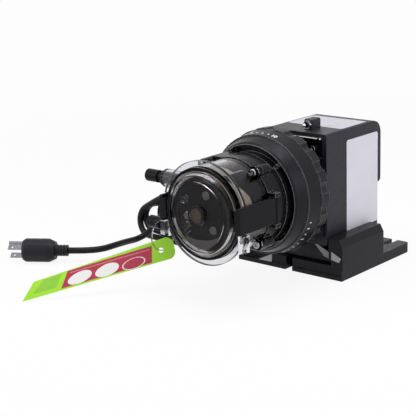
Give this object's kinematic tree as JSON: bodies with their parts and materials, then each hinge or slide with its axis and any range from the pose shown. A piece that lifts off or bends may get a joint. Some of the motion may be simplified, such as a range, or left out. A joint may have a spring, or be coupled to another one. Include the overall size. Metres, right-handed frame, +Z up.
{
  "type": "chemical injection pump",
  "caption": "Peristaltic metering pump with a feed-rate dial ring, a clear pump head with side latches, two tube ports and a slide-on mounting bracket.",
  "frame": {"origin": "middle of the mounting bracket's underside", "axes": "+Z up, -Y towards the clear pump head, +X towards the labelled side of the motor housing"},
  "size_m": [0.3435, 0.361, 0.16],
  "materials": {
    "bracket_plastic": "moulded",
    "housing_plastic": "moulded",
    "dial_plastic": "satin",
    "fitting_plastic": "satin",
    "clear_plastic": "clear",
    "steel": "plated",
    "lamination_steel": "stacked sheet",
    "copper": "enamelled wire",
    "bronze": "sintered",
    "gear_plastic": "moulded",
    "roller_plastic": "satin",
    "tube_rubber": "smooth",
    "cord_rubber": "satin",
    "tag_card": "printed"
  },
  "bodies": {
    "bracket": {"mounting_bracket": "bracket_plastic"},
    "pump": {"motor_housing": "housing_plastic", "rear_cover": "housing_plastic", "cover_screws": "steel", "fascia_screw": "steel", "switch_block": "housing_plastic", "stator_laminations": "lamination_steel", "stator_coil": "copper", "front_motor_bracket": "steel", "rear_motor_bracket": "steel", "motor_studs": "steel", "shaft_bushes": "bronze", "gear_stud": "steel", "gear_case": "housing_plastic", "gear_case_back": "housing_plastic", "gear_partition": "housing_plastic", "head_adapter": "housing_plastic", "adapter_screws": "steel", "tube_housing": "clear_plastic", "head_screws": "steel", "head_cover": "clear_plastic", "cover_bush": "bronze", "peristaltic_tube": "tube_rubber", "tube_ferrules": "fitting_plastic", "suction_nut": "fitting_plastic", "discharge_nut": "fitting_plastic", "latch_pins": "steel", "strain_relief": "cord_rubber", "cord_run": "cord_rubber", "cord_hank": "cord_rubber", "cord_lead": "cord_rubber", "plug_body": "cord_rubber", "plug_blades": "steel", "hang_tag": "tag_card", "tag_tie": "steel"},
    "dial": {"dial_ring": "dial_plastic", "variable_cam": "gear_plastic"},
    "motor_rotor": {"rotor": "lamination_steel", "rotor_shaft": "steel", "cooling_fan": "gear_plastic", "motor_pinion": "bronze"},
    "reduction": {"reduction_gear": "gear_plastic", "reduction_pinion": "bronze"},
    "roller_assembly": {"main_shaft": "steel", "output_gear": "gear_plastic", "index_plate": "steel", "front_roller_carrier": "housing_plastic", "rear_roller_carrier": "housing_plastic", "roller_pins": "steel"},
    "first_roller": {"roller_1": "roller_plastic"},
    "second_roller": {"roller_2": "roller_plastic"},
    "third_roller": {"roller_3": "roller_plastic"},
    "right_clip": {"right_latch": "fitting_plastic"},
    "left_clip": {"left_latch": "fitting_plastic"},
    "lever": {"switch_lever": "steel"}
  },
  "joints": [
    {"name": "pump_slide", "type": "slide", "parent": "bracket", "child": "pump", "axis": [0, -1, 0], "range_m": [0, 0.06]},
    {"name": "dial_turn", "type": "hinge", "parent": "pump", "child": "dial", "pos_m": [0, -0.1, 0.0914], "axis": [0, -1, 0], "range_deg": [-203, 40]},
    {"name": "motor_turn", "type": "hinge", "parent": "pump", "child": "motor_rotor", "pos_m": [0.01025, -0.025, 0.07866], "axis": [0, -1, 0], "continuous": true},
    {"name": "reduction_turn", "type": "hinge", "parent": "pump", "child": "reduction", "pos_m": [0, -0.075, 0.06225], "axis": [0, -1, 0], "continuous": true},
    {"name": "roller_shaft_turn", "type": "hinge", "parent": "pump", "child": "roller_assembly", "pos_m": [0, -0.18, 0.0914], "axis": [0, -1, 0], "continuous": true},
    {"name": "first_roller_turn", "type": "hinge", "parent": "roller_assembly", "child": "first_roller", "pos_m": [0.0057, -0.18, 0.11005], "axis": [0, -1, 0], "continuous": true},
    {"name": "second_roller_turn", "type": "hinge", "parent": "roller_assembly", "child": "second_roller", "pos_m": [0.0133, -0.18, 0.07714], "axis": [0, -1, 0], "continuous": true},
    {"name": "third_roller_turn", "type": "hinge", "parent": "roller_assembly", "child": "third_roller", "pos_m": [-0.019, -0.18, 0.08701], "axis": [0, -1, 0], "continuous": true},
    {"name": "right_latch_swing", "type": "hinge", "parent": "pump", "child": "right_clip", "pos_m": [0.0485, -0.146, 0.0914], "axis": [0, 0, 1], "range_deg": [0, 110]},
    {"name": "left_latch_swing", "type": "hinge", "parent": "pump", "child": "left_clip", "pos_m": [-0.0485, -0.146, 0.0914], "axis": [0, 0, -1], "range_deg": [0, 110]},
    {"name": "switch_throw", "type": "hinge", "parent": "pump", "child": "lever", "pos_m": [0.017, -0.05, 0.15475], "axis": [1, 0, 0], "range_deg": [-12, 12]}
  ],
  "couplings": [
    {"joint": "reduction_turn", "follows": "motor_turn", "ratio": -0.25},
    {"joint": "roller_shaft_turn", "follows": "motor_turn", "ratio": 0.038194},
    {"joint": "first_roller_turn", "follows": "motor_turn", "ratio": -0.13129},
    {"joint": "second_roller_turn", "follows": "motor_turn", "ratio": -0.13129},
    {"joint": "third_roller_turn", "follows": "motor_turn", "ratio": -0.13129}
  ]
}
